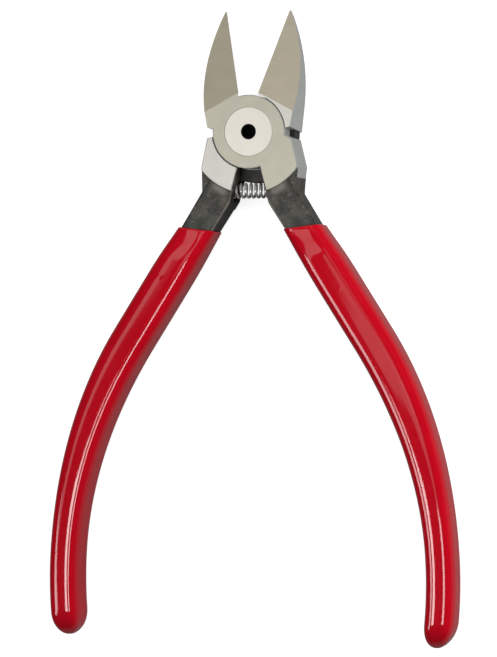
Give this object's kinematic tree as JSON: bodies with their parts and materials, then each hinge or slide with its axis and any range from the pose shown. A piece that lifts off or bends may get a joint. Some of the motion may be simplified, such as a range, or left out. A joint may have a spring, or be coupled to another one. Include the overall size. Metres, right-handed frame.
{
  "type": "sprue nippers",
  "caption": "Flush-cutting side nippers for model parts: two crossed levers on a bored pivot rivet, coil return spring and dipped grips.",
  "frame": {"origin": "on the pivot rivet's axis, at the head's flat rear face", "axes": "+Z out of the front (flush-cutting) face, +Y towards the jaw tips, +X towards the handle of the front lever; the rest pose is the relaxed, open one"},
  "size_m": [0.1018, 0.1552, 0.0118],
  "materials": {
    "ground_steel": "ground, with black-oxide necks and tangs",
    "rivet_steel": "fine ground",
    "spring_steel": "bright plated",
    "dipped_pvc": "glossy dipped coating"
  },
  "bodies": {
    "rear_half": {"rear_lever": "ground_steel", "pivot_rivet": "rivet_steel", "rear_grip": "dipped_pvc", "return_spring": "spring_steel"},
    "front_half": {"front_lever": "ground_steel", "front_grip": "dipped_pvc"}
  },
  "joints": [
    {"name": "pivot", "type": "hinge", "parent": "rear_half", "child": "front_half", "pos_m": [0, 0, 0.00525], "axis": [0, 0, -1], "range_deg": [-9, 29.4], "stiffness_Nm_per_rad": 1.16, "deforming": ["return_spring"]}
  ]
}
